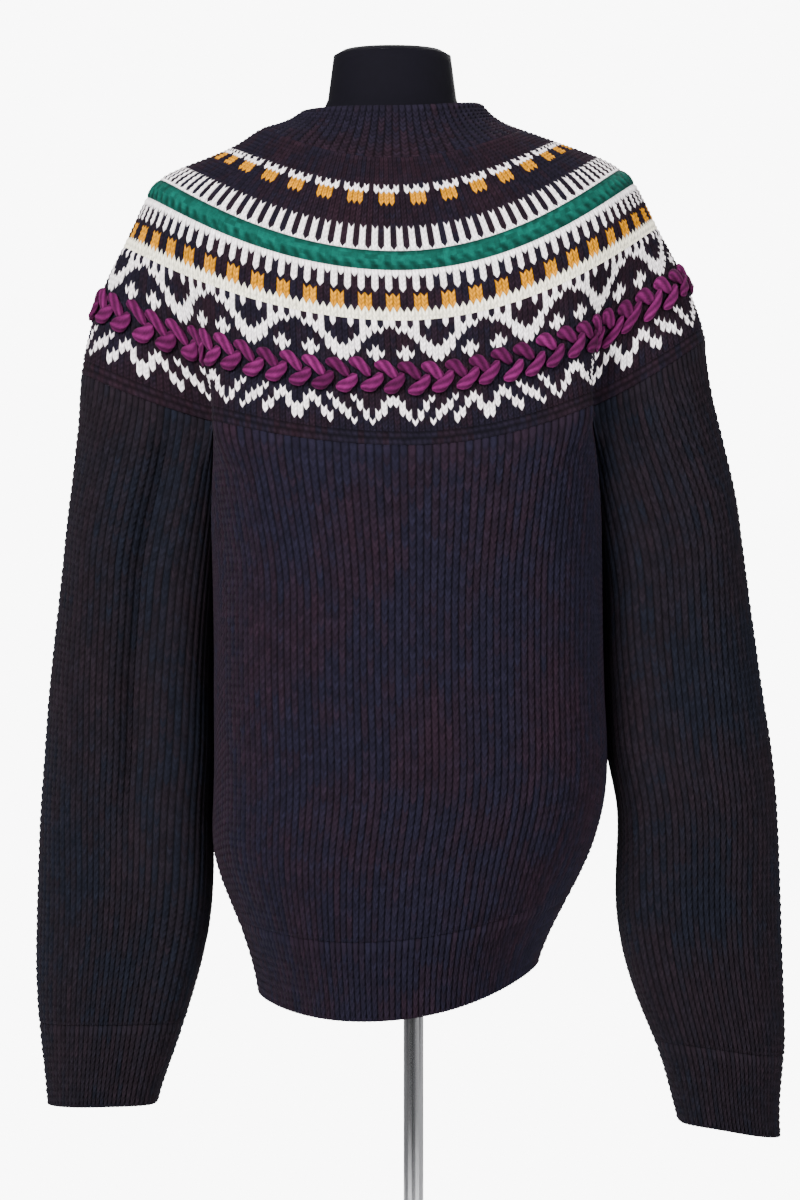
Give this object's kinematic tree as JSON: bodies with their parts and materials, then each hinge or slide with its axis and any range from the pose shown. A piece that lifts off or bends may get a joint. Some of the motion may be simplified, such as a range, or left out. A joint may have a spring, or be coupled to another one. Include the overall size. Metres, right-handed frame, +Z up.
{
  "type": "wool sweater on a limbless dress form with a pole stand",
  "caption": "Round-yoke wool sweater with a banded, braided yoke, ribbed collar, hem and cuffs, filled out by a limbless torso form on a slim pole with a round base.",
  "frame": {"origin": "centre of the stand's base on the floor", "axes": "+Z up along the pole, -Y towards the front of the sweater, +X towards the sleeve on the right of the picture"},
  "size_m": [0.5973, 0.34, 1.3],
  "materials": {
    "wool_aubergine": "heathered dark wool in fine vertical ribs",
    "wool_yoke": "stranded colour knitting in white, cream, green, yellow and magenta on dark wool",
    "form_cloth": "tight dark jersey over the form",
    "pole_chrome": "polished chrome",
    "base_steel": "satin plate with a polished edge"
  },
  "bodies": {
    "root": {"collar": "wool_aubergine", "yoke": "wool_yoke", "front": "wool_aubergine", "back": "wool_aubergine", "hem_band": "wool_aubergine", "sleeve_left": "wool_aubergine", "sleeve_right": "wool_aubergine", "cuff_left": "wool_aubergine", "cuff_right": "wool_aubergine", "form_torso": "form_cloth", "stand_pole": "pole_chrome", "stand_base": "base_steel"}
  },
  "joints": []
}
